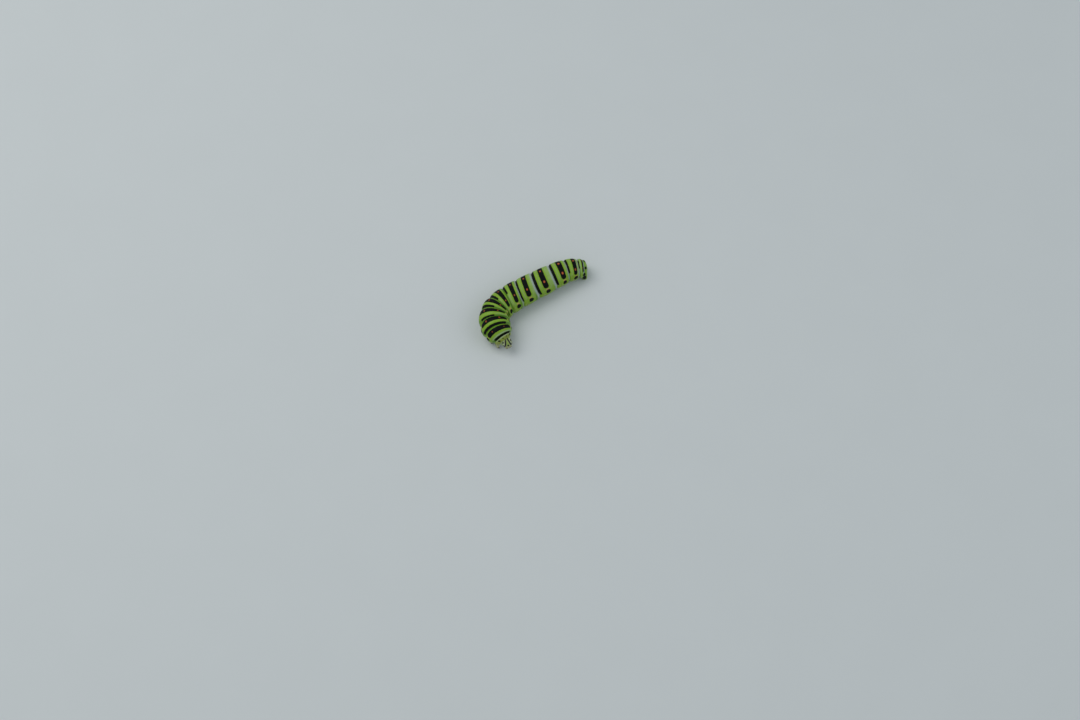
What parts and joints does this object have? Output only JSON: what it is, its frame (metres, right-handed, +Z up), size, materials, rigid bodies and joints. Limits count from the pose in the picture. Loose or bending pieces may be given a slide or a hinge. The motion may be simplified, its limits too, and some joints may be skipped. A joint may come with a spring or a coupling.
{
  "type": "swallowtail larva",
  "caption": "Full-grown butterfly larva crawling in a bend: ringed body, small tilted head with feelers, horny front legs, fleshy stump legs with flat soles.",
  "frame": {"origin": "on the floor under the middle of the bounding box", "axes": "+X towards the tail along the straight rear body, -Y the side the head turns to, +Z up"},
  "size_m": [0.0362, 0.0176, 0.0082],
  "materials": {
    "skin": "soft satin skin, banded in the visual model",
    "foot": "soft satin skin",
    "head": "smooth horny capsule, slightly glossy",
    "leg": "smooth horn, slightly glossy"
  },
  "bodies": {
    "root": {"head": "head", "feeler_left": "head", "feeler_right": "head", "prothorax": "skin", "mesothorax": "skin", "metathorax": "skin", "abdomen_1": "skin", "abdomen_2": "skin", "abdomen_3": "skin", "abdomen_4": "skin", "abdomen_5": "skin", "abdomen_6": "skin", "abdomen_7": "skin", "abdomen_8": "skin", "abdomen_9": "skin", "abdomen_10": "skin", "proleg_3_left": "foot", "proleg_3_right": "foot", "proleg_4_left": "foot", "proleg_4_right": "foot", "proleg_5_left": "foot", "proleg_5_right": "foot", "proleg_6_left": "foot", "proleg_6_right": "foot", "clasper_left": "foot", "clasper_right": "foot", "leg_1_left": "leg", "leg_1_right": "leg", "leg_2_left": "leg", "leg_2_right": "leg", "leg_3_left": "leg", "leg_3_right": "leg"}
  },
  "joints": []
}
